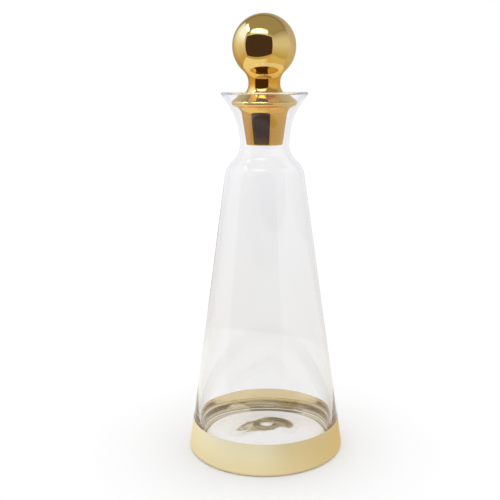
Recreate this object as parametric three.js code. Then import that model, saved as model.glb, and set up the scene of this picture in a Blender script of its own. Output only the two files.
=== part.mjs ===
// A glass decanter: a blown conical bottle with a gilded foot, closed by a gilded ball stopper.
// Millimetres, +Z up. The origin is the centre of the ring that the bottle stands on.
// Every piece is turned about the Z axis. An outline lists points with x as radius and y as height.
import * as THREE from "three";
import { mergeVertices } from "three/addons/utils/BufferGeometryUtils.js";

const { Vector2 } = THREE;
const { degToRad } = THREE.MathUtils;

// Bottle, outside
const FOOT_RADIUS = 51; // where the cone's side meets the table
const CONE_TOP_RADIUS = 25.3;
const CONE_HEIGHT = 181.5;
const HEEL_RADIUS = 1.5; // rounding between the side and the standing ring
const SHOULDER_RADIUS = 14; // convex curve that ends the cone
const NECK_ROOT_RADIUS = 13.5; // concave curve into the neck
const NECK_RADIUS = 15.6; // narrowest place
const NECK_LENGTH = 1.4;
const FLARE_RADIUS = 43; // concave curve out of the neck
const FLARE_LEAN = degToRad(37); // lean of the mouth, from the vertical
const FLARE_LENGTH = 4.5; // straight length of the mouth under its lip

// Bottle, inside
const NECK_WALL = 1.9; // neck and mouth
const BODY_WALL = 1.8; // upper cone
const FOOT_SWEEP_RADIUS = 250; // long curve that thickens the wall towards the foot
const FLOOR_FILLET = 7;
const FLOOR_HEIGHT = 5; // table to the edge of the inside floor
const FLOOR_RISE = 2.5; // dome of the inside floor
const PUNT_RADIUS = 36; // hollow under the foot
const PUNT_DEPTH = 5.5;

// Gilding
const FILM = 0.2; // thickness of the gold
const BOND = 0.05; // gold to glass
const BAND_HEIGHT = 20; // table to the top edge of the gilded band
const HEEL_WRAP = degToRad(45); // how far the band turns under the heel

// Stopper, over its gilding
const BALL_RADIUS = 19.7;
const STEM_RADIUS = 9.9;
const STEM_LENGTH = 0.8; // straight length of the stem
const BALL_FILLET = 9.3; // concave curve between the ball and the stem
const STEM_FILLET = 8; // concave curve between the stem and the collar
const COLLAR_OVERHANG = 5.9; // beyond the top of the plug
const COLLAR_EDGE_RADIUS = 1.6;
const COLLAR_TOP_LEAN = degToRad(64); // slopes of the collar, from the vertical
const COLLAR_UNDER_LEAN = degToRad(68);
const PLUG_TOP_RADIUS = 14.7; // where its side would meet the collar
const PLUG_LENGTH = 22.7; // from there to its end
const PLUG_TAPER = degToRad(8.5); // lean of its side
const PLUG_FILLET = 6; // concave curve between the plug and the collar
const PLUG_END_RADIUS = 0.8; // rounding of its end
const SEAT_GAP = 0.3; // collar to the mouth that carries it

// Facets
const SEGMENTS = 44; // round each piece
const CHORD_ERROR = 0.1; // of an arc in an outline
const SWELL_STEPS = 8; // of a domed floor
const FILLET_SHARE = 0.9; // most of the straight that a fillet may take up
const SEAT_ERROR = 0.0003; // of the height at which the stopper comes to rest

const along = (angle) => new Vector2(Math.cos(angle), Math.sin(angle));
const from = (point, direction, distance) => point.clone().addScaledVector(direction, distance);

// Points of an arc. growth moves it off its own radius and keeps its steps, so that two skins stay parallel.
function arc(centre, radius, start, end, growth = 0) {
  const step = 2 * Math.acos(1 - Math.min(CHORD_ERROR / radius, 1));
  const steps = Math.max(2, Math.ceil(Math.abs(end - start) / step));
  return Array.from({ length: steps + 1 }, (_, i) =>
    from(centre, along(start + ((end - start) * i) / steps), radius + growth),
  );
}

// Points of a dome, from its level edge to its top on the axis.
function swell(radius, height, rise) {
  return Array.from({ length: SWELL_STEPS + 1 }, (_, i) => {
    const share = i / SWELL_STEPS;
    return new Vector2(radius * (1 - share), height + (rise * (1 - Math.cos(Math.PI * share))) / 2);
  });
}

// The bottle's cone and the centres of the curves above it.
const coneLean = Math.atan2(FOOT_RADIUS - CONE_TOP_RADIUS, CONE_HEIGHT);
const coneNormal = along(coneLean);
const coneUp = along(coneLean + Math.PI / 2);
const coneFoot = new Vector2(FOOT_RADIUS, 0);
const coneTop = new Vector2(CONE_TOP_RADIUS, CONE_HEIGHT);
const shoulderCentre = from(coneTop, coneNormal, -SHOULDER_RADIUS);
const curvesApart = SHOULDER_RADIUS + NECK_ROOT_RADIUS;
const shoulderTurn = Math.acos((NECK_RADIUS + NECK_ROOT_RADIUS - shoulderCentre.x) / curvesApart);
const neckRootCentre = from(shoulderCentre, along(shoulderTurn), curvesApart);
const flareCentre = new Vector2(NECK_RADIUS + FLARE_RADIUS, neckRootCentre.y + NECK_LENGTH);
const flareUp = along(Math.PI / 2 - FLARE_LEAN);
const flareNormal = along(-FLARE_LEAN);
const heelCentre = new Vector2(
  FOOT_RADIUS - (HEEL_RADIUS * (1 + Math.sin(coneLean))) / Math.cos(coneLean),
  HEEL_RADIUS,
);

// Outside of the bottle from the heel to the lip, with the lip's rounding.
function bottleOutside() {
  const flare = arc(flareCentre, FLARE_RADIUS, Math.PI, Math.PI - FLARE_LEAN);
  const lipStart = from(flare.at(-1), flareUp, FLARE_LENGTH);
  const lipCentre = from(lipStart, flareNormal, -NECK_WALL / 2);
  return [
    ...arc(heelCentre, HEEL_RADIUS, -Math.PI / 2, coneLean),
    ...arc(shoulderCentre, SHOULDER_RADIUS, coneLean, shoulderTurn),
    ...arc(neckRootCentre, NECK_ROOT_RADIUS, Math.PI + shoulderTurn, Math.PI).slice(1),
    ...flare,
    ...arc(lipCentre, NECK_WALL / 2, -FLARE_LEAN, Math.PI - FLARE_LEAN),
  ];
}

// Inside of the bottle from under the lip to the middle of the floor.
function bottleInside() {
  const root = NECK_ROOT_RADIUS + NECK_WALL;
  const shoulder = SHOULDER_RADIUS - BODY_WALL;
  const innerConeTop = from(coneTop, coneNormal, -BODY_WALL);
  // The convex curve touches the inner cone and the curve that is concentric with the neck's root.
  const offset = from(innerConeTop, coneNormal, -shoulder).sub(neckRootCentre);
  const rise = offset.dot(coneUp);
  const slide = -rise - Math.sqrt(rise ** 2 - offset.lengthSq() + (shoulder + root) ** 2);
  const centre = from(neckRootCentre.clone().add(offset), coneUp, slide);
  const turn = neckRootCentre.clone().sub(centre).angle();
  // The sweep leaves the inner cone and stands upright where the floor's fillet starts.
  const filletTop = FLOOR_HEIGHT + FLOOR_FILLET;
  const sweepTop = filletTop + FOOT_SWEEP_RADIUS * Math.sin(coneLean);
  const sweepTopRadius =
    FOOT_RADIUS - BODY_WALL / Math.cos(coneLean) - sweepTop * Math.tan(coneLean);
  const sweepCentre = new Vector2(
    sweepTopRadius - FOOT_SWEEP_RADIUS * Math.cos(coneLean),
    filletTop,
  );
  const floorRadius = sweepCentre.x + FOOT_SWEEP_RADIUS - FLOOR_FILLET;
  const filletCentre = new Vector2(floorRadius, filletTop);
  return [
    ...arc(flareCentre, FLARE_RADIUS + NECK_WALL, Math.PI - FLARE_LEAN, Math.PI),
    ...arc(neckRootCentre, root, Math.PI, Math.PI + turn),
    ...arc(centre, shoulder, turn, coneLean).slice(1),
    ...arc(sweepCentre, FOOT_SWEEP_RADIUS, coneLean, 0),
    ...arc(filletCentre, FLOOR_FILLET, 0, -Math.PI / 2).slice(1),
    ...swell(floorRadius, FLOOR_HEIGHT, FLOOR_RISE).slice(1),
  ];
}

const bottleOutline = () => [
  ...swell(PUNT_RADIUS, 0, PUNT_DEPTH).reverse(),
  ...bottleOutside(),
  ...bottleInside(),
];

// One face of the gilded band, off the glass by the given distance, from under the heel to its top edge.
function bandFace(distance) {
  const top = from(coneFoot, coneUp, BAND_HEIGHT / Math.cos(coneLean));
  return [
    ...arc(heelCentre, HEEL_RADIUS, -HEEL_WRAP, coneLean, distance),
    from(top, coneNormal, distance),
  ];
}

function bandOutline() {
  const outer = bandFace(BOND + FILM);
  const inner = bandFace(BOND).reverse();
  return [...outer, ...inner, outer[0]];
}

// The stopper's outline from the end of its plug to the top of its ball, inset from the gilded surface.
// Height 0 is the level where the plug's side would meet the collar's underside.
function stopperOutline(inset) {
  const plugSide = along(-PLUG_TAPER);
  const under = along(-COLLAR_UNDER_LEAN);
  const top = along(COLLAR_TOP_LEAN);
  const plugUp = along(Math.PI / 2 - PLUG_TAPER);
  const underOut = along(Math.PI / 2 - COLLAR_UNDER_LEAN);
  const topIn = along(Math.PI / 2 + COLLAR_TOP_LEAN);

  const plugTop = new Vector2(PLUG_TOP_RADIUS, 0);
  const plugEnd = from(plugTop, plugUp, -PLUG_LENGTH / Math.cos(PLUG_TAPER));
  const endCentre = new Vector2(
    plugEnd.x - (PLUG_END_RADIUS * (1 - Math.sin(PLUG_TAPER))) / Math.cos(PLUG_TAPER),
    plugEnd.y + PLUG_END_RADIUS,
  );

  const edgeX = PLUG_TOP_RADIUS + COLLAR_OVERHANG - COLLAR_EDGE_RADIUS;
  const underLength = (edgeX + COLLAR_EDGE_RADIUS * under.x - PLUG_TOP_RADIUS) / underOut.x;
  const edgeCentre = from(from(plugTop, underOut, underLength), under, -COLLAR_EDGE_RADIUS);

  const halfTurn = (COLLAR_UNDER_LEAN - PLUG_TAPER) / 2;
  const fillet = Math.min(PLUG_FILLET, (FILLET_SHARE * underLength) / Math.tan(halfTurn));
  const filletCentre = from(from(plugTop, plugUp, -fillet * Math.tan(halfTurn)), plugSide, fillet);

  const collarTop = from(edgeCentre, top, COLLAR_EDGE_RADIUS);
  const slopeEndX = STEM_RADIUS + STEM_FILLET * (1 - top.x);
  const slopeEnd = from(collarTop, topIn, (slopeEndX - collarTop.x) / topIn.x);
  const stemCentre = from(slopeEnd, top, STEM_FILLET);

  const necked = new Vector2(STEM_RADIUS + BALL_FILLET, stemCentre.y + STEM_LENGTH);
  const ballTurn = Math.acos(necked.x / (BALL_RADIUS + BALL_FILLET));
  const ballCentre = from(necked, along(Math.PI - ballTurn), BALL_RADIUS + BALL_FILLET);
  ballCentre.x = 0;

  return [
    ...arc(endCentre, PLUG_END_RADIUS, -Math.PI / 2, -PLUG_TAPER, -inset),
    ...arc(filletCentre, fillet, Math.PI - PLUG_TAPER, Math.PI - COLLAR_UNDER_LEAN, inset),
    ...arc(edgeCentre, COLLAR_EDGE_RADIUS, -COLLAR_UNDER_LEAN, COLLAR_TOP_LEAN, -inset),
    ...arc(stemCentre, STEM_FILLET, Math.PI + COLLAR_TOP_LEAN, Math.PI, inset),
    ...arc(necked, BALL_FILLET, Math.PI, Math.PI - ballTurn, inset),
    ...arc(ballCentre, BALL_RADIUS, -ballTurn, Math.PI / 2, -inset).slice(1),
  ];
}

function coreOutline() {
  const side = stopperOutline(FILM + BOND);
  return [new Vector2(0, side[0].y), ...side];
}

// The gold is open at the end of the plug, which stays bare glass.
function skinOutline() {
  const outer = stopperOutline(0);
  const inner = stopperOutline(FILM).reverse();
  return [...outer, ...inner, outer[0]];
}

// Least distance between two open outlines.
function clearance(a, b) {
  const nearest = new Vector2();
  const oneWay = (points, line) =>
    points.reduce((least, point) => {
      for (let i = 1; i < line.length; i++) {
        const run = line[i].clone().sub(line[i - 1]);
        const share = point.clone().sub(line[i - 1]).dot(run) / (run.lengthSq() || 1);
        nearest.copy(line[i - 1]).addScaledVector(run, Math.min(Math.max(share, 0), 1));
        least = Math.min(least, nearest.distanceTo(point));
      }
      return least;
    }, Infinity);
  return Math.min(oneWay(a, b), oneWay(b, a));
}

// Height at which a stopper lowered into the mouth comes to rest, its gap to the glass left open.
function seatHeight(stopper, mouth) {
  const lowest = Math.min(...stopper.map((point) => point.y));
  const rim = Math.max(...mouth.map((point) => point.y));
  const clear = (height) =>
    clearance(stopper.map((point) => new Vector2(point.x, point.y + height)), mouth) >= SEAT_GAP;
  let height = rim - lowest + 2 * SEAT_GAP;
  for (let step = SEAT_GAP; step > SEAT_ERROR; step /= 2) {
    while (clear(height - step)) height -= step;
  }
  return height;
}

// A closed solid turned about the Z axis.
function turned(outline) {
  const lathe = new THREE.LatheGeometry(outline, SEGMENTS);
  lathe.deleteAttribute("normal");
  lathe.deleteAttribute("uv");
  const merged = mergeVertices(lathe.rotateX(Math.PI / 2));
  const kept = [];
  const corners = merged.index.array;
  for (let i = 0; i < corners.length; i += 3) {
    const [a, b, c] = corners.subarray(i, i + 3);
    if (a !== b && b !== c && c !== a) kept.push(a, b, c); // a triangle on the axis has no area
  }
  merged.setIndex(kept);
  merged.computeVertexNormals();
  return merged;
}

const clearGlass = new THREE.MeshStandardMaterial({
  color: 0xf2f4f3,
  roughness: 0.02,
  transparent: true,
  opacity: 0.3,
});
const satinGold = new THREE.MeshStandardMaterial({ color: 0xe3cd8f, roughness: 0.3, metalness: 1 });
const polishedGold = new THREE.MeshStandardMaterial({ color: 0xd8a949, roughness: 0.06, metalness: 1 });

function piece(name, outline, material) {
  const mesh = new THREE.Mesh(turned(outline), material);
  mesh.name = name;
  return mesh;
}

const bottle = new THREE.Group();
bottle.add(
  piece("glass_body", bottleOutline(), clearGlass),
  piece("gold_base_band", bandOutline(), satinGold),
);

const stopper = new THREE.Group();
stopper.add(
  piece("stopper_core", coreOutline(), clearGlass),
  piece("stopper_gold_skin", skinOutline(), polishedGold),
);
stopper.position.z = seatHeight(stopperOutline(0), bottleInside());

const decanter = new THREE.Group();
decanter.add(bottle, stopper);

export default decanter;
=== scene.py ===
import math

import bmesh
import bpy
from mathutils import Matrix, Vector


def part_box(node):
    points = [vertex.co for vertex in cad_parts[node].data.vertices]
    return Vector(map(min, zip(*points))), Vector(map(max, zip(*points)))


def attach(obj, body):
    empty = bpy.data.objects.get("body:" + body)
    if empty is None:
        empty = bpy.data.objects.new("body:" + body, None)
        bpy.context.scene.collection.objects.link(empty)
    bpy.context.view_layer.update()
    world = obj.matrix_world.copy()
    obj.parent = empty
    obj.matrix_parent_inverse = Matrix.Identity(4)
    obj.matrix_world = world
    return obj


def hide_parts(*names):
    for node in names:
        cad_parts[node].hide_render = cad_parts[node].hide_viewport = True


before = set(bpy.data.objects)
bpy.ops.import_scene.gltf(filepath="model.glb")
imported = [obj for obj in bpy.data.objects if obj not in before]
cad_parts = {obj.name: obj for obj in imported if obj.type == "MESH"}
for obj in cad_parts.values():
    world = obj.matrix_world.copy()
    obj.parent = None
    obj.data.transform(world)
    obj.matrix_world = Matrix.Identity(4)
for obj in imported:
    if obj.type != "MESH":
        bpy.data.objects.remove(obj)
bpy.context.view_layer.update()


def mm(value):
    """Millimetres as metres."""
    return value / 1000


# Bottle, outside
FOOT_RADIUS = mm(51)
CONE_TOP_RADIUS = mm(25.3)
CONE_HEIGHT = mm(181.5)
HEEL_RADIUS = mm(1.5)
SHOULDER_RADIUS = mm(14)
NECK_ROOT_RADIUS = mm(13.5)
NECK_RADIUS = mm(15.6)
NECK_LENGTH = mm(1.4)
FLARE_RADIUS = mm(43)
FLARE_LEAN = math.radians(37)
FLARE_LENGTH = mm(4.5)

# Bottle, inside and underneath
NECK_WALL = mm(1.9)
BODY_WALL = mm(1.8)
FOOT_SWEEP_RADIUS = mm(250)
FLOOR_FILLET = mm(7)
FLOOR_HEIGHT = mm(5)
FLOOR_RISE = mm(2.5)
PUNT_RADIUS = mm(36)
PUNT_DEPTH = mm(5.5)

# Mark that the glassmaker's rod left in the hollow: a steeper middle, eased where it nears the table
PONTIL_BELL = 1.7
PONTIL_EASE = mm(0.5)

# Waves of that mark: count round the hollow, height, turn, and the radians that each winds on by the edge
PONTIL_WAVES = [
    (1, mm(0.4), math.radians(60), 2.6),
    (2, mm(0.9), math.radians(25), 2.6),
    (3, mm(0.3), 0.0, 4.0),
]

# Button of glass in that mark
BUTTON_RIGHT = mm(0.5)
BUTTON_BACK = mm(7)
BUTTON_RADIUS = mm(6.2)
BUTTON_DEPTH = mm(1.6)

# Fine streaks in that mark, fading out between two distances from the axis
STREAK_DEPTH = mm(0.3)
STREAK_SCALE = 120.0
STREAK_DETAIL = 1.0
STREAK_STRETCH = (0.4, 1.3, 1.0)
STREAK_FADE = (mm(26), mm(16))
STREAK_TOP = mm(5.2)

# Gilding: the band bites into the glass a little, so that no air lies behind the gold
FILM = mm(0.2)
BAND_PROUD = mm(0.2)
BAND_BITE = mm(0.03)
HEEL_WRAP = math.radians(45)

# Stopper
BALL_RADIUS = mm(19.7)
STEM_RADIUS = mm(9.9)
STEM_LENGTH = mm(0.8)
BALL_FILLET = mm(9.3)
STEM_FILLET = mm(8)
COLLAR_OVERHANG = mm(5.9)
COLLAR_EDGE_RADIUS = mm(1.6)
COLLAR_TOP_LEAN = math.radians(64)
COLLAR_UNDER_LEAN = math.radians(68)
PLUG_TOP_RADIUS = mm(14.7)
PLUG_LENGTH = mm(22.7)
PLUG_TAPER = math.radians(8.5)
PLUG_FILLET = mm(6)
PLUG_END_RADIUS = mm(0.8)
CORE_INSET = mm(0.25)

# Facets
QUARTERS = 4
QUARTER_STEPS = 64
CHORD_ERROR = mm(0.004)
FEWEST_STEPS = 4
SWELL_STEPS = 48
SHARP_EDGE = math.radians(35)
WELD = mm(0.001)

# Marks of making and handling: soft mottle, fine hairlines, slow waves
MOTTLE_DETAIL = 5.0
MOTTLE_ROUGHNESS = 0.6
HAIRLINE_TURN = (0.4, 0.7, 0.3)
HAIRLINE_STRETCH = (1.0, 24.0, 1.0)
HAIRLINE_DETAIL = 2.0
HAIRLINE_LIMITS = (0.62, 0.72)
HAIRLINE_DEPTH = mm(0.01)
WAVE_STRETCH = (1.0, 1.0, 0.25)
WAVE_DETAIL = 1.0
WAVE_DEPTH = mm(0.4)
GLASS_MARKS = {"Mottle Scale": 45.0, "Hairline Scale": 160.0, "Wave Scale": 28.0}
BAND_MARKS = {"Mottle Scale": 60.0, "Hairline Scale": 220.0, "Wave Scale": 40.0}
STOPPER_MARKS = {"Mottle Scale": 60.0, "Hairline Scale": 220.0, "Wave Scale": 60.0}

# Glass. Its roughness stays at nothing, by which the stage tells glass from gold.
GLASS_TINT = (0.99, 0.99, 0.99, 1)
GLASS_WORN_TINT = (0.975, 0.98, 0.98, 1)
GLASS_ROUGHNESS = 0.0
GLASS_IOR = 1.5
GLASS_WAVES = 0.12
GLASS_HAIRLINES = 0.1

# Gold: roughness between and on the hairlines, and tones from the foot of a piece to its top, into which
# light and shade are painted
SATIN_ROUGHNESS = (0.34, 0.42)
FILM_ROUGHNESS = (0.05, 0.09)
MIRROR_ROUGHNESS = (0.03, 0.07)
SATIN_COAT = 0.1
SATIN_EDGE = (1.0, 0.93, 0.76, 1)
MIRROR_EDGE = (1.0, 0.86, 0.55, 1)
BAND_WAVES = 0.05
STOPPER_WAVES = 0.04
WORN_SHADE = 0.95
# Outside of the band: painted shade at the heel, and paler towards the top as a painted sheen
BAND_SHEEN_AND_SHADE = [
    (0.02, (0.70, 0.56, 0.33)),
    (0.10, (0.89, 0.79, 0.57)),
    (0.55, (0.93, 0.87, 0.69)),
    (1.0, (0.95, 0.91, 0.81)),
]
# Inside of the band, seen through the glass: painted shade near the foot, and a painted dark ring a little
# above the middle for the reflection of the dark room
FILM_SHADE_AND_REFLECTION = [
    (0.05, (0.55, 0.48, 0.34)),
    (0.38, (0.76, 0.64, 0.41)),
    (0.45, (0.47, 0.39, 0.26)),
    (0.57, (0.47, 0.39, 0.26)),
    (0.63, (0.88, 0.72, 0.43)),
]
# Stopper: painted shade, a deeper and darker orange on the plug and at the stem, for the dimmer light and
# reflections there
STOPPER_SHADE = [
    (0.20, (0.86, 0.51, 0.08)),
    (0.30, (0.93, 0.63, 0.14)),
    (0.40, (0.91, 0.60, 0.16)),
    (0.48, (0.90, 0.42, 0.05)),
    (0.60, (0.93, 0.67, 0.24)),
]

# Camera, fitted to the photograph's 500 pixel frame
FRAME_PIXELS = 500
FOCAL_PIXELS = 795
SENSOR_WIDTH = 36
CAMERA_BACK = mm(503)
CAMERA_HEIGHT = mm(239.2)
CAMERA_PITCH = 0.2085
CAMERA_ROLL = math.radians(-0.22)
AXIS_PIXELS_RIGHT = 15.0
CLIP_START = mm(10)

# Floor, and the light that falls on it
FLOOR_SIZE = mm(6000)
FLOOR_DROP = mm(0.3)
FLOOR_WHITE = (0.97, 0.97, 0.97, 1)
FLOOR_LIGHT = 1.10

# Light tent round the object, turned so that its open front lies left of the camera
TENT_TURN = math.radians(-20)
TENT_HALF_WIDTH = mm(370)
TENT_FRONT = mm(-250)
TENT_BACK = mm(240)
TENT_HEIGHT = mm(620)
OPENING_HALF_WIDTH = mm(285)
OPENING_TOP = mm(450)
FRONT_LAMP_LEFT = mm(-200)
FRONT_LAMP_RIGHT = mm(170)
FRONT_LAMP_BACK = mm(-200)
LEFT_LAMP_RIGHT = mm(-270)
LEFT_LAMP_BACK = mm(60)
LAMP_FADE = (0.4, 1.15)
LAMP_GLOW = (1.0, 0.12)
LAMP_IN_GLASS = 2.4
LAMP_IN_GOLD = 7.0
PANEL_GAP = mm(3)

# Mirrored in gold: the walls from floor to top, dimmer in the far left corner, and the floor to the right,
# with a painted shadow of the object and painted warm light thrown from the band
LEFT_TONES = [
    (0.15, (0.61, 0.49, 0.30)),
    (0.42, (0.76, 0.76, 0.75)),
    (0.58, (0.93, 1.06, 1.5)),
    (0.72, (1.06, 1.38, 2.5)),
]
RIGHT_TONES = [
    (0.08, (0.55, 0.47, 0.26)),
    (0.45, (0.73, 0.74, 0.77)),
    (0.62, (0.68, 0.72, 0.81)),
    (0.98, (0.30, 0.28, 0.24)),
]
BACK_TONES = [
    (0.1, (0.63, 0.56, 0.50)),
    (0.4, (0.66, 0.68, 0.80)),
    (0.7, (0.55, 0.58, 0.80)),
    (0.95, (0.27, 0.24, 0.20)),
]
CORNER_FADE = 0.7
CEILING_TONE = (0.36, 0.33, 0.29, 1)
FLOOR_SHADOW_IN_GOLD = [
    (0.15, (0.93, 0.89, 0.72)),
    (0.42, (0.70, 0.55, 0.28)),
    (0.85, (0.70, 0.60, 0.36)),
]
FLOOR_SHADOW_IN_GOLD_SPAN = (mm(-50), mm(250))

# Seen through the glass, a little brighter to the left: the walls from floor to top, and the floor, with
# painted shade under the foot
THROUGH_TONES = [
    (0.0, (0.885, 0.876, 0.872)),
    (0.2, (0.925, 0.915, 0.932)),
    (0.27, (0.965, 0.957, 0.98)),
]
THROUGH_FLOOR = (0.93, 0.925, 0.92, 1)
SHADE_UNDER_FOOT = (0.905, 0.88, 0.855, 1)
SHADE_UNDER_FOOT_SPAN = (mm(48), mm(42))
SIDE_LIGHT = (1.02, 0.96)
SIDE_SPAN_WALL = (mm(-150), mm(-20))
SIDE_SPAN_FLOOR = (mm(-60), mm(60))

# Floor in front of the object, which glass mirrors dim: a painted shadow
FRONT_FLOOR_SHADOW = (0.35, 0.33, 0.30, 1)
FRONT_FLOOR_SHADOW_SPAN = (mm(-160), mm(-200))

# The dark room past the open front, and the sill below it
ROOM_THROUGH_GLASS = (0.90, 0.893, 0.90, 1)
ROOM_IN_GOLD = (0.065, 0.040, 0.035, 1)
ROOM_IN_GOLD_BEHIND_GLASS = (0.02, 0.012, 0.010, 1)
ROOM_ON_GLASS = (0.30, 0.30, 0.30, 1)
ROOM_IN_GLASS = (0.65, 0.65, 0.65, 1)
ROOM_IN_FOOT = (0.30, 0.27, 0.20, 1)
ROOM_PALE_FROM = mm(230)
SILL_TOP = mm(70)
SILL_IN_GOLD = (0.55, 0.47, 0.27, 1)
SILL_IN_GLASS = (0.55, 0.54, 0.53, 1)

# Light paths: the faces that a ray passes in one wall of glass, and a half to tell one count from the next
WALL_FACES = 2
BETWEEN_COUNTS = 0.5
BOUNCES = 256

# Plain values for nodes
WHITE = (1, 1, 1, 1)
WHOLE = (0.0, 1.0)
FLATTEN = (1, 1, 0)

# Places of the colour sockets among those of a Mix node
MIX_SHARE = 0
MIX_LOW = 6
MIX_HIGH = 7
MIX_RESULT = 2


def along(angle):
    return Vector((math.cos(angle), math.sin(angle)))


def arc(centre, radius, start, end, growth=0.0):
    """Points of an arc in an outline. growth moves it off its own radius and keeps its steps."""
    step = 2 * math.acos(1 - min(CHORD_ERROR / radius, 1))
    steps = max(FEWEST_STEPS, math.ceil(abs(end - start) / step))
    angles = [start + (end - start) * i / steps for i in range(steps + 1)]
    return [centre + along(angle) * (radius + growth) for angle in angles]


def dome(share):
    """Height of a dome that is level at its edge and top, at a share of its radius from the axis."""
    return (1 + math.cos(math.pi * share)) / 2


def swell(radius, height, rise):
    """Points of a dome from its edge to its top."""
    shares = [1 - i / SWELL_STEPS for i in range(SWELL_STEPS + 1)]
    return [Vector((radius * share, height + rise * dome(share))) for share in shares]


# The cone of the bottle and the centres of the curves round it, as (radius, height)
cone_lean = math.atan2(FOOT_RADIUS - CONE_TOP_RADIUS, CONE_HEIGHT)
cone_normal = along(cone_lean)
cone_up = along(cone_lean + math.pi / 2)
cone_foot = Vector((FOOT_RADIUS, 0))
cone_top = Vector((CONE_TOP_RADIUS, CONE_HEIGHT))
shoulder_centre = cone_top - cone_normal * SHOULDER_RADIUS
curves_apart = SHOULDER_RADIUS + NECK_ROOT_RADIUS
shoulder_turn = math.acos((NECK_RADIUS + NECK_ROOT_RADIUS - shoulder_centre.x) / curves_apart)
neck_root_centre = shoulder_centre + along(shoulder_turn) * curves_apart
flare_centre = Vector((NECK_RADIUS + FLARE_RADIUS, neck_root_centre.y + NECK_LENGTH))
heel_inwards = HEEL_RADIUS * (1 + math.sin(cone_lean)) / math.cos(cone_lean)
heel_centre = Vector((FOOT_RADIUS - heel_inwards, HEEL_RADIUS))


def bottle_outside():
    """The bottle's outside from its standing ring over the heel, cone, shoulder and neck to the lip."""
    flare = arc(flare_centre, FLARE_RADIUS, math.pi, math.pi - FLARE_LEAN)
    lip_start = flare[-1] + along(math.pi / 2 - FLARE_LEAN) * FLARE_LENGTH
    lip_centre = lip_start - along(-FLARE_LEAN) * NECK_WALL / 2
    return (
        arc(heel_centre, HEEL_RADIUS, -math.pi / 2, cone_lean)
        + arc(shoulder_centre, SHOULDER_RADIUS, cone_lean, shoulder_turn)
        + arc(neck_root_centre, NECK_ROOT_RADIUS, math.pi + shoulder_turn, math.pi)[1:]
        + flare
        + arc(lip_centre, NECK_WALL / 2, -FLARE_LEAN, math.pi - FLARE_LEAN)
    )


def bottle_inside():
    """The bottle's inside from the flare down to the middle of its floor."""
    root = NECK_ROOT_RADIUS + NECK_WALL
    shoulder = SHOULDER_RADIUS - BODY_WALL
    offset = cone_top - cone_normal * (BODY_WALL + shoulder) - neck_root_centre
    rise = offset.dot(cone_up)
    slide = -rise - math.sqrt(rise**2 - offset.length_squared + (shoulder + root) ** 2)
    centre = neck_root_centre + offset + cone_up * slide
    to_root = neck_root_centre - centre
    turn = math.atan2(to_root.y, to_root.x)
    fillet_top = FLOOR_HEIGHT + FLOOR_FILLET
    sweep_top = fillet_top + FOOT_SWEEP_RADIUS * math.sin(cone_lean)
    sweep_top_radius = FOOT_RADIUS - BODY_WALL / math.cos(cone_lean) - sweep_top * math.tan(cone_lean)
    sweep_centre = Vector((sweep_top_radius - FOOT_SWEEP_RADIUS * math.cos(cone_lean), fillet_top))
    floor_radius = sweep_centre.x + FOOT_SWEEP_RADIUS - FLOOR_FILLET
    return (
        arc(flare_centre, FLARE_RADIUS + NECK_WALL, math.pi - FLARE_LEAN, math.pi)
        + arc(neck_root_centre, root, math.pi, math.pi + turn)
        + arc(centre, shoulder, turn, cone_lean)[1:]
        + arc(sweep_centre, FOOT_SWEEP_RADIUS, cone_lean, 0)
        + arc(Vector((floor_radius, fillet_top)), FLOOR_FILLET, 0, -math.pi / 2)[1:]
        + swell(floor_radius, FLOOR_HEIGHT, FLOOR_RISE)[1:]
    )


def bottle_outline():
    return swell(PUNT_RADIUS, 0, PUNT_DEPTH)[::-1] + bottle_outside() + bottle_inside()


def band_face(distance):
    """One face of the gold band, off the glass by the distance, from under the heel to its top edge."""
    band_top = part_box("gold_base_band")[1].z
    top = cone_foot + cone_up * (band_top / math.cos(cone_lean))
    return arc(heel_centre, HEEL_RADIUS, -HEEL_WRAP, cone_lean, distance) + [top + cone_normal * distance]


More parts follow.
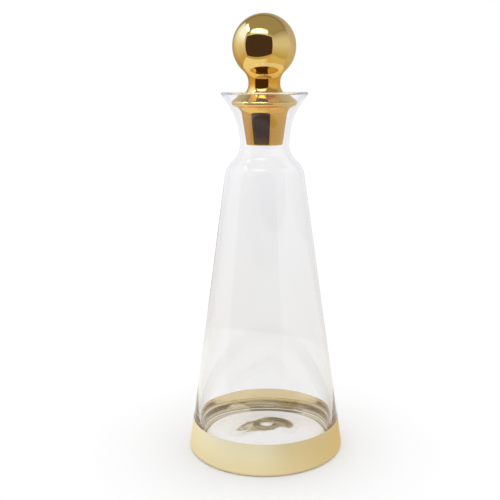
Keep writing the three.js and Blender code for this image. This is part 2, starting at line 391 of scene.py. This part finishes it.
def stopper_outline(inset):
    """The stopper from the end of its plug to the top of its ball, inset from the gilded surface."""
    plug_side = along(-PLUG_TAPER)
    under = along(-COLLAR_UNDER_LEAN)
    top = along(COLLAR_TOP_LEAN)
    plug_up = along(math.pi / 2 - PLUG_TAPER)
    under_out = along(math.pi / 2 - COLLAR_UNDER_LEAN)
    top_in = along(math.pi / 2 + COLLAR_TOP_LEAN)

    plug_top = Vector((PLUG_TOP_RADIUS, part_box("stopper_gold_skin")[0].z + PLUG_LENGTH))
    plug_end = plug_top - plug_up * (PLUG_LENGTH / math.cos(PLUG_TAPER))
    end_inwards = PLUG_END_RADIUS * (1 - math.sin(PLUG_TAPER)) / math.cos(PLUG_TAPER)
    end_centre = plug_end + Vector((-end_inwards, PLUG_END_RADIUS))

    edge_x = PLUG_TOP_RADIUS + COLLAR_OVERHANG - COLLAR_EDGE_RADIUS
    under_length = (edge_x + COLLAR_EDGE_RADIUS * under.x - PLUG_TOP_RADIUS) / under_out.x
    edge_centre = plug_top + under_out * under_length - under * COLLAR_EDGE_RADIUS

    tangent = PLUG_FILLET * math.tan((COLLAR_UNDER_LEAN - PLUG_TAPER) / 2)
    fillet_centre = plug_top - plug_up * tangent + plug_side * PLUG_FILLET

    collar_top = edge_centre + top * COLLAR_EDGE_RADIUS
    slope_end_x = STEM_RADIUS + STEM_FILLET * (1 - top.x)
    slope_end = collar_top + top_in * ((slope_end_x - collar_top.x) / top_in.x)
    stem_centre = slope_end + top * STEM_FILLET

    necked = Vector((STEM_RADIUS + BALL_FILLET, stem_centre.y + STEM_LENGTH))
    ball_turn = math.acos(necked.x / (BALL_RADIUS + BALL_FILLET))
    ball_centre = Vector((0, necked.y + (BALL_RADIUS + BALL_FILLET) * math.sin(ball_turn)))

    return (
        arc(end_centre, PLUG_END_RADIUS, -math.pi / 2, -PLUG_TAPER, -inset)
        + arc(fillet_centre, PLUG_FILLET, math.pi - PLUG_TAPER, math.pi - COLLAR_UNDER_LEAN, inset)
        + arc(edge_centre, COLLAR_EDGE_RADIUS, -COLLAR_UNDER_LEAN, COLLAR_TOP_LEAN, -inset)
        + arc(stem_centre, STEM_FILLET, math.pi + COLLAR_TOP_LEAN, math.pi, inset)
        + arc(necked, BALL_FILLET, math.pi, math.pi - ball_turn, inset)
        + arc(ball_centre, BALL_RADIUS, -ball_turn, math.pi / 2, -inset)[1:]
    )


def turned(outline, closed=False):
    """A mesh turned about the Z axis from its outline: one quarter by a spin, the others as its copies."""
    bm = bmesh.new()
    verts = [bm.verts.new((point.x, 0, point.y)) for point in outline]
    pairs = list(zip(verts, verts[1:]))
    if closed:
        pairs.append((verts[-1], verts[0]))
    edges = [bm.edges.new(pair) for pair in pairs]
    bmesh.ops.spin(
        bm,
        geom=verts + edges,
        cent=(0, 0, 0),
        axis=(0, 0, 1),
        angle=math.tau / QUARTERS,
        steps=QUARTER_STEPS,
    )
    quarter = bm.verts[:] + bm.edges[:] + bm.faces[:]
    for i in range(1, QUARTERS):
        turn = Matrix.Rotation(math.tau * i / QUARTERS, 3, "Z")
        copy = bmesh.ops.duplicate(bm, geom=quarter)["geom"]
        moved = [part for part in copy if isinstance(part, bmesh.types.BMVert)]
        bmesh.ops.rotate(bm, verts=moved, cent=(0, 0, 0), matrix=turn)
    bmesh.ops.remove_doubles(bm, verts=bm.verts, dist=WELD)
    bmesh.ops.recalc_face_normals(bm, faces=bm.faces)
    bm.normal_update()
    return bm


def mark_hollow(bm):
    """Gives the hollow under the foot the uneven mark that the glassmaker's rod left."""
    for vertex in bm.verts:
        x, y, z = vertex.co
        share = math.hypot(x, y) / PUNT_RADIUS
        if share < 1 and z < PUNT_DEPTH * dome(share) + WELD:
            angle = math.atan2(y, x)
            waves = sum(
                rise * math.cos(count * (angle - turn) - twist * share)
                for count, rise, turn, twist in PONTIL_WAVES
            )
            off_button = math.hypot(x - BUTTON_RIGHT, y - BUTTON_BACK) / BUTTON_RADIUS
            uneven = waves * math.sin(math.pi * share) ** 2 - BUTTON_DEPTH * math.exp(-(off_button**2))
            height = PUNT_DEPTH * dome(share) ** PONTIL_BELL + uneven
            vertex.co.z = (height + math.hypot(height, PONTIL_EASE * (1 - share))) / 2
    bm.normal_update()


def finished(name, bm, *materials):
    """Makes a mesh an object, shaded smooth except at its sharp edges."""
    for face in bm.faces:
        face.smooth = True
    for edge in bm.edges:
        edge.smooth = edge.calc_face_angle(0) < SHARP_EDGE
    mesh = bpy.data.meshes.new(name)
    bm.to_mesh(mesh)
    bm.free()
    for material in materials:
        mesh.materials.append(material)
    piece = bpy.data.objects.new(name, mesh)
    bpy.context.scene.collection.objects.link(piece)
    return piece


def dress(piece, body, node):
    """Sets a piece on its body in place of its solid."""
    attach(piece, body)
    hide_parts(node)


def new_material(name):
    material = bpy.data.materials.new(name)
    material.use_nodes = True
    material.node_tree.nodes.clear()
    return material, material.node_tree


def add(tree, kind, inputs=None, **settings):
    """Adds a node. An input that is given as an output socket is linked, and any other is set."""
    node = tree.nodes.new(kind)
    for name, value in settings.items():
        setattr(node, name, value)
    for name, value in (inputs or {}).items():
        if isinstance(value, bpy.types.NodeSocket):
            tree.links.new(value, node.inputs[name])
        else:
            node.inputs[name].default_value = value
    return node


def principled(tree, inputs):
    shader = add(tree, "ShaderNodeBsdfPrincipled", inputs)
    add(tree, "ShaderNodeOutputMaterial", {"Surface": shader.outputs["BSDF"]})


def emit(tree, colour, strength=1.0):
    light = add(tree, "ShaderNodeEmission", {"Color": colour, "Strength": strength})
    add(tree, "ShaderNodeOutputMaterial", {"Surface": light.outputs["Emission"]})


def calc(tree, operation, *values, clamp=False):
    inputs = dict(enumerate(values))
    return add(tree, "ShaderNodeMath", inputs, operation=operation, use_clamp=clamp).outputs["Value"]


def vector_calc(tree, operation, *values):
    inputs = dict(enumerate(values))
    return add(tree, "ShaderNodeVectorMath", inputs, operation=operation).outputs["Vector"]


def length(tree, vector):
    return add(tree, "ShaderNodeVectorMath", {0: vector}, operation="LENGTH").outputs["Value"]


def scaled(tree, colour, share):
    inputs = {0: colour, "Scale": share}
    return add(tree, "ShaderNodeVectorMath", inputs, operation="SCALE").outputs["Vector"]


def mixed(tree, share, low, high):
    """The low colour at a share of 0 and the high one at 1."""
    inputs = {MIX_SHARE: share, MIX_LOW: low, MIX_HIGH: high}
    return add(tree, "ShaderNodeMix", inputs, data_type="RGBA").outputs[MIX_RESULT]


def spread(tree, value, limits, results=WHOLE, kind="LINEAR"):
    """Maps a value from between its limits to between the results, and no further."""
    inputs = {
        "Value": value,
        "From Min": limits[0],
        "From Max": limits[1],
        "To Min": results[0],
        "To Max": results[1],
    }
    return add(tree, "ShaderNodeMapRange", inputs, interpolation_type=kind).outputs["Result"]


def ramp(tree, share, tones):
    """Colours along a share from 0 to 1, given as pairs of share and linear colour."""
    node = add(tree, "ShaderNodeValToRGB", {"Fac": share})
    stops = node.color_ramp.elements
    for place, colour in tones[1:-1]:
        stops.new(place)
    for stop, (place, colour) in zip(stops, tones):
        stop.position = place
        stop.color = (*colour, 1)
    return node.outputs["Color"]


def noise(tree, place, scale, detail, roughness=0.5):
    inputs = {"Vector": place, "Scale": scale, "Detail": detail, "Roughness": roughness}
    return add(tree, "ShaderNodeTexNoise", inputs).outputs["Fac"]


def mapped(tree, place, stretch, turn=(0, 0, 0)):
    inputs = {"Vector": place, "Rotation": turn, "Scale": stretch}
    return add(tree, "ShaderNodeMapping", inputs).outputs["Vector"]


def bump(tree, height, strength, distance, normal=None):
    """A normal tilted by a height, on top of another normal if one is given."""
    inputs = {"Height": height, "Strength": strength, "Distance": distance}
    if normal is not None:
        inputs["Normal"] = normal
    return add(tree, "ShaderNodeBump", inputs).outputs["Normal"]


def place_in(tree):
    return add(tree, "ShaderNodeTexCoord").outputs["Object"]


def axes_of(tree, place):
    return add(tree, "ShaderNodeSeparateXYZ", {"Vector": place}).outputs


def off_axis(tree, place):
    """Distance of a place from the Z axis."""
    return length(tree, vector_calc(tree, "MULTIPLY", place, FLATTEN))


def handling_group():
    """Marks of making and handling: a soft mottle, fine hairlines and slow waves."""
    tree = bpy.data.node_groups.new("handling_marks", "ShaderNodeTree")
    for name in ("Mottle Scale", "Hairline Scale", "Wave Scale"):
        tree.interface.new_socket(name, in_out="INPUT", socket_type="NodeSocketFloat")
    for name in ("Mottle", "Hairlines", "Waves"):
        tree.interface.new_socket(name, in_out="OUTPUT", socket_type="NodeSocketFloat")
    given = add(tree, "NodeGroupInput").outputs
    place = place_in(tree)
    mottle = noise(tree, place, given["Mottle Scale"], MOTTLE_DETAIL, MOTTLE_ROUGHNESS)
    drawn_out = mapped(tree, place, HAIRLINE_STRETCH, HAIRLINE_TURN)
    hairs = noise(tree, drawn_out, given["Hairline Scale"], HAIRLINE_DETAIL)
    waves = noise(tree, mapped(tree, place, WAVE_STRETCH), given["Wave Scale"], WAVE_DETAIL)
    add(
        tree,
        "NodeGroupOutput",
        {"Mottle": mottle, "Hairlines": spread(tree, hairs, HAIRLINE_LIMITS), "Waves": waves},
    )
    return tree


handling_marks = handling_group()


def handled(tree, scales):
    return add(tree, "ShaderNodeGroup", scales, node_tree=handling_marks).outputs


def pontil_streaks(tree, normal):
    """Fine streaks in the hollow under the foot, fading away from its middle."""
    place = place_in(tree)
    near = spread(tree, off_axis(tree, place), STREAK_FADE, kind="SMOOTHSTEP")
    underneath = calc(tree, "LESS_THAN", axes_of(tree, place)["Z"], STREAK_TOP)
    streaks = noise(tree, mapped(tree, place, STREAK_STRETCH), STREAK_SCALE, STREAK_DETAIL)
    height = calc(tree, "MULTIPLY", streaks, calc(tree, "MULTIPLY", near, underneath))
    return bump(tree, height, 1.0, STREAK_DEPTH, normal)


def glass_material(name, streaked=False):
    material, tree = new_material(name)
    marks = handled(tree, GLASS_MARKS)
    wavy = bump(tree, marks["Waves"], GLASS_WAVES, WAVE_DEPTH)
    normal = bump(tree, marks["Hairlines"], GLASS_HAIRLINES, HAIRLINE_DEPTH, wavy)
    if streaked:
        normal = pontil_streaks(tree, normal)
    principled(
        tree,
        {
            "Base Color": mixed(tree, marks["Mottle"], GLASS_TINT, GLASS_WORN_TINT),
            "Roughness": GLASS_ROUGHNESS,
            "IOR": GLASS_IOR,
            "Transmission Weight": 1.0,
            "Normal": normal,
        },
    )
    return material


def gold_material(name, heights, tones, edge, scales, roughness, waves, coat=0.0):
    """Gold film, with light and shade painted in as tones between two heights of the piece, worn a little
    darker and rougher in places.
    """
    material, tree = new_material(name)
    marks = handled(tree, scales)
    height = axes_of(tree, place_in(tree))["Z"]
    tone = ramp(tree, spread(tree, height, heights), tones)
    principled(
        tree,
        {
            "Base Color": mixed(tree, marks["Mottle"], tone, scaled(tree, tone, WORN_SHADE)),
            "Metallic": 1.0,
            "Roughness": spread(tree, marks["Hairlines"], WHOLE, roughness),
            "Specular Tint": edge,
            "Coat Weight": coat,
            "Normal": bump(tree, marks["Waves"], waves, WAVE_DEPTH),
        },
    )
    return material


def make_bottle():
    bm = turned(bottle_outline())
    mark_hollow(bm)
    glass = finished("bottle_glass", bm, glass_material("clear_glass", streaked=True))
    dress(glass, "bottle", "glass_body")


def make_band():
    """The band round the foot, satin outside and mirror bright where it is seen through the glass."""
    heights = (0.0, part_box("gold_base_band")[1].z)
    satin = gold_material(
        "satin_gold", heights, BAND_SHEEN_AND_SHADE, SATIN_EDGE, BAND_MARKS, SATIN_ROUGHNESS, BAND_WAVES, SATIN_COAT
    )
    film = gold_material(
        "gold_behind_glass", heights, FILM_SHADE_AND_REFLECTION, SATIN_EDGE, BAND_MARKS, FILM_ROUGHNESS, BAND_WAVES
    )
    bm = turned(band_face(BAND_PROUD) + band_face(-BAND_BITE)[::-1], closed=True)
    for face in bm.faces:
        middle = face.calc_center_median()
        inward = face.normal.dot(Vector((middle.x, middle.y, 0))) < 0
        face.material_index = int(inward)
    band = finished("foot_gilding", bm, satin, film)
    dress(band, "bottle", "gold_base_band")


def make_stopper_gilding():
    low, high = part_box("stopper_gold_skin")
    mirror = gold_material(
        "mirror_gold",
        (low.z, high.z),
        STOPPER_SHADE,
        MIRROR_EDGE,
        STOPPER_MARKS,
        MIRROR_ROUGHNESS,
        STOPPER_WAVES,
    )
    film = turned(stopper_outline(0.0) + stopper_outline(FILM)[::-1], closed=True)
    skin = finished("stopper_gilding", film, mirror)
    dress(skin, "stopper", "stopper_gold_skin")


def make_stopper_core():
    side = stopper_outline(CORE_INSET)
    plug_end = Vector((0, side[0].y))
    core = finished("stopper_glass_core", turned([plug_end] + side), glass_material("stopper_glass"))
    dress(core, "stopper", "stopper_core")


def at_least(tree, count, least):
    """1 where a count of faces or mirrors is the least one or more."""
    return calc(tree, "GREATER_THAN", count, least - BETWEEN_COUNTS)


def from_to(tree, count, least, most):
    """1 where a count of faces or mirrors lies between two, or is one of them."""
    return calc(tree, "COMPARE", count, (least + most) / 2, (most - least) / 2 + BETWEEN_COUNTS)


def seen_in_gold(tree):
    """1 for a ray that gold sends out, also where a wall of glass lies in its way.

    Gold is never quite as sharp a mirror as glass, so a ray that comes straight from gold isn't singular.
    Past glass, the plug and the collar are told by how many faces and mirrors a ray has met.
    """
    path = add(tree, "ShaderNodeLightPath").outputs
    faces = path["Transmission Depth"]
    mirrors = path["Glossy Depth"]
    straight = calc(tree, "SUBTRACT", path["Is Glossy Ray"], path["Is Singular Ray"], clamp=True)
    both_ways = from_to(tree, faces, 2 * WALL_FACES, 2 * WALL_FACES)
    plug = calc(tree, "MULTIPLY", both_ways, at_least(tree, mirrors, 1))
    one_way = from_to(tree, faces, WALL_FACES, WALL_FACES + 1)
    collar = calc(tree, "MULTIPLY", one_way, at_least(tree, mirrors, 2))
    return calc(tree, "MAXIMUM", straight, calc(tree, "MAXIMUM", plug, collar))


def wall_material(name, tones):
    """A tent wall: pale and nearly even through glass, and graded from floor to top in gold."""
    material, tree = new_material(name)
    axes = axes_of(tree, place_in(tree))
    share = calc(tree, "DIVIDE", axes["Z"], TENT_HEIGHT)
    back = spread(tree, axes["Y"], (0.0, TENT_BACK))
    left = spread(tree, axes["X"], (TENT_HALF_WIDTH, -TENT_HALF_WIDTH))
    fade = spread(tree, calc(tree, "MULTIPLY", back, left), WHOLE, (1.0, CORNER_FADE))
    graded = scaled(tree, ramp(tree, share, tones), fade)
    side_light = spread(tree, axes["X"], SIDE_SPAN_WALL, SIDE_LIGHT)
    pale = scaled(tree, ramp(tree, share, THROUGH_TONES), side_light)
    emit(tree, mixed(tree, seen_in_gold(tree), pale, graded))
    return material


def opening_material():
    """The dark room past the open front, and the sill below it. Only gold shows the room at its darkest.

    Through glass alone the opening is as pale as the walls, and in between where glass mirrors it.
    """
    material, tree = new_material("opening")
    path = add(tree, "ShaderNodeLightPath").outputs
    faces = path["Transmission Depth"]
    mirrored = at_least(tree, path["Glossy Depth"], 1)
    in_gold = seen_in_gold(tree)
    height = axes_of(tree, place_in(tree))["Z"]

    inner = mixed(tree, at_least(tree, faces, 1), ROOM_ON_GLASS, ROOM_IN_GLASS)
    in_foot = mixed(tree, at_least(tree, faces, 2 * WALL_FACES + 1), inner, ROOM_IN_FOOT)
    pale_room = mixed(tree, mirrored, ROOM_THROUGH_GLASS, in_foot)
    past_wall = at_least(tree, faces, WALL_FACES + 1)
    dark_room = mixed(tree, past_wall, ROOM_IN_GOLD, ROOM_IN_GOLD_BEHIND_GLASS)
    high = calc(tree, "GREATER_THAN", height, ROOM_PALE_FROM)
    pale = calc(tree, "MULTIPLY", past_wall, high)
    dark = calc(tree, "SUBTRACT", in_gold, pale, clamp=True)
    room = mixed(tree, dark, pale_room, dark_room)

    pale_sill = mixed(tree, mirrored, ROOM_THROUGH_GLASS, SILL_IN_GLASS)
    sill = mixed(tree, in_gold, pale_sill, SILL_IN_GOLD)
    below = calc(tree, "LESS_THAN", height, SILL_TOP)
    on_plug = at_least(tree, faces, 2 * WALL_FACES)
    emit(tree, mixed(tree, calc(tree, "SUBTRACT", below, on_plug, clamp=True), room, sill))
    return material


def lamp_material(name, corners):
    """A lamp that fades away from its middle, softer in glass than in gold."""
    material, tree = new_material(name)
    low = Vector(map(min, zip(*corners)))
    high = Vector(map(max, zip(*corners)))
    reach = Vector(max(part, WELD) for part in (high - low) / 2)
    off_middle = vector_calc(tree, "SUBTRACT", place_in(tree), (low + high) / 2)
    away = length(tree, vector_calc(tree, "DIVIDE", off_middle, reach))
    glow = spread(tree, away, LAMP_FADE, LAMP_GLOW, "SMOOTHSTEP")
    strength = spread(tree, seen_in_gold(tree), WHOLE, (LAMP_IN_GLASS, LAMP_IN_GOLD))
    emit(tree, WHITE, calc(tree, "MULTIPLY", glow, strength))
    return material


def ceiling_material():
    material, tree = new_material("ceiling")
    emit(tree, CEILING_TONE)
    return material


def floor_material():
    """A white floor that keeps the object's shadow. Glass shows it nearly even, with painted shade under
    the foot and a painted shadow in front, and gold shows a painted shadow with warm bounced light to the
    right.
    """
    material, tree = new_material("floor")
    path = add(tree, "ShaderNodeLightPath").outputs
    place = place_in(tree)
    axes = axes_of(tree, place)
    # Painted shadow of the object and painted warm light from the band on the floor, as gold mirrors it
    shadow_and_bounce = ramp(tree, spread(tree, axes["X"], FLOOR_SHADOW_IN_GOLD_SPAN), FLOOR_SHADOW_IN_GOLD)
    # Painted shade on the floor under the foot
    under = spread(tree, off_axis(tree, place), SHADE_UNDER_FOOT_SPAN)
    side_light = spread(tree, axes["X"], SIDE_SPAN_FLOOR, SIDE_LIGHT)
    even = scaled(tree, mixed(tree, under, THROUGH_FLOOR, SHADE_UNDER_FOOT), side_light)
    # Painted shadow on the floor in front of the object, where glass mirrors it
    front = spread(tree, axes["Y"], FRONT_FLOOR_SHADOW_SPAN)
    front_shadow = calc(tree, "MULTIPLY", front, at_least(tree, path["Glossy Depth"], 1))
    through = mixed(tree, front_shadow, even, FRONT_FLOOR_SHADOW)
    tone = mixed(tree, seen_in_gold(tree), through, shadow_and_bounce)
    lit = add(tree, "ShaderNodeBsdfDiffuse", {"Color": FLOOR_WHITE}).outputs["BSDF"]
    toned = add(tree, "ShaderNodeEmission", {"Color": tone}).outputs["Emission"]
    by_object = calc(tree, "MAXIMUM", path["Is Glossy Ray"], path["Is Transmission Ray"])
    seen = add(tree, "ShaderNodeMixShader", {0: by_object, 1: lit, 2: toned}).outputs["Shader"]
    add(tree, "ShaderNodeOutputMaterial", {"Surface": seen})
    return material


def stage_face(name, corners, material):
    bm = bmesh.new()
    bm.faces.new([bm.verts.new(corner) for corner in corners])
    face = finished(name, bm, material)
    return face


def upright(x0, y0, x1, y1, low, high):
    """Corners of an upright panel over the line from one place to another."""
    return [(x0, y0, low), (x1, y1, low), (x1, y1, high), (x0, y0, high)]


def level(x0, x1, y0, y1, height):
    """Corners of a level panel."""
    return [(x0, y0, height), (x1, y0, height), (x1, y1, height), (x0, y1, height)]


def tent_panel(name, corners, material):
    """A panel of the tent, given in the tent's own frame. The camera and the floor don't see it."""
    panel = stage_face(name, corners, material)
    panel.rotation_euler.z = TENT_TURN
    panel.visible_camera = False
    panel.visible_diffuse = False
    panel.visible_shadow = False


def make_walls():
    side, front, back, top = TENT_HALF_WIDTH, TENT_FRONT, TENT_BACK, TENT_HEIGHT
    walls = [
        ("left", upright(-side, front, -side, back, 0, top), LEFT_TONES),
        ("right", upright(side, back, side, front, 0, top), RIGHT_TONES),
        ("back", upright(-side, back, side, back, 0, top), BACK_TONES),
        ("front", upright(-side, front, side, front, 0, top), RIGHT_TONES),
    ]
    for name, corners, tones in walls:
        tent_panel("tent_" + name, corners, wall_material(name + "_wall", tones))
    tent_panel("tent_top", level(-side, side, front, back, top), ceiling_material())


def make_opening_and_lamps():
    """The open front, a lamp that leans over it, and a lamp under the ceiling at the left."""
    inside = TENT_FRONT + PANEL_GAP
    below = TENT_HEIGHT - PANEL_GAP
    opening = upright(-OPENING_HALF_WIDTH, inside, OPENING_HALF_WIDTH, inside, 0, OPENING_TOP)
    tent_panel("tent_opening", opening, opening_material())
    front_lamp = [
        (FRONT_LAMP_LEFT, inside, OPENING_TOP),
        (FRONT_LAMP_RIGHT, inside, OPENING_TOP),
        (FRONT_LAMP_RIGHT, FRONT_LAMP_BACK, below),
        (FRONT_LAMP_LEFT, FRONT_LAMP_BACK, below),
    ]
    left_lamp = level(-TENT_HALF_WIDTH, LEFT_LAMP_RIGHT, TENT_FRONT, LEFT_LAMP_BACK, below)
    for name, corners in (("front_lamp", front_lamp), ("left_lamp", left_lamp)):
        tent_panel(name, corners, lamp_material(name, corners))


def make_world():
    """White to the camera, and a little brighter as the light on the floor."""
    world = bpy.data.worlds.new("white")
    bpy.context.scene.world = world
    world.use_nodes = True
    tree = world.node_tree
    tree.nodes.clear()
    by_camera = add(tree, "ShaderNodeLightPath").outputs["Is Camera Ray"]
    strength = spread(tree, by_camera, WHOLE, (FLOOR_LIGHT, 1.0))
    white = add(tree, "ShaderNodeBackground", {"Color": WHITE, "Strength": strength})
    add(tree, "ShaderNodeOutputWorld", {"Surface": white.outputs["Background"]})


def make_stage():
    half = FLOOR_SIZE / 2
    stage_face("floor", level(-half, half, -half, half, -FLOOR_DROP), floor_material())
    make_walls()
    make_opening_and_lamps()
    make_world()


def make_camera():
    data = bpy.data.cameras.new("camera")
    data.sensor_width = SENSOR_WIDTH
    data.lens = SENSOR_WIDTH * FOCAL_PIXELS / FRAME_PIXELS
    data.shift_x = -AXIS_PIXELS_RIGHT / FRAME_PIXELS
    data.clip_start = CLIP_START
    camera = bpy.data.objects.new("camera", data)
    camera.location = (0, -CAMERA_BACK, CAMERA_HEIGHT)
    look = Matrix.Rotation(math.pi / 2 - CAMERA_PITCH, 3, "X") @ Matrix.Rotation(CAMERA_ROLL, 3, "Z")
    camera.rotation_euler = look.to_euler()
    bpy.context.scene.collection.objects.link(camera)
    bpy.context.scene.camera = camera


def set_render():
    """Plain colours, and room for the many turns that light takes in the thick glass of the foot."""
    scene = bpy.context.scene
    scene.view_settings.view_transform = "Standard"
    scene.cycles.max_bounces = BOUNCES
    scene.cycles.glossy_bounces = BOUNCES
    scene.cycles.transmission_bounces = BOUNCES


make_camera()
make_bottle()
make_band()
make_stopper_gilding()
make_stopper_core()
make_stage()
set_render()
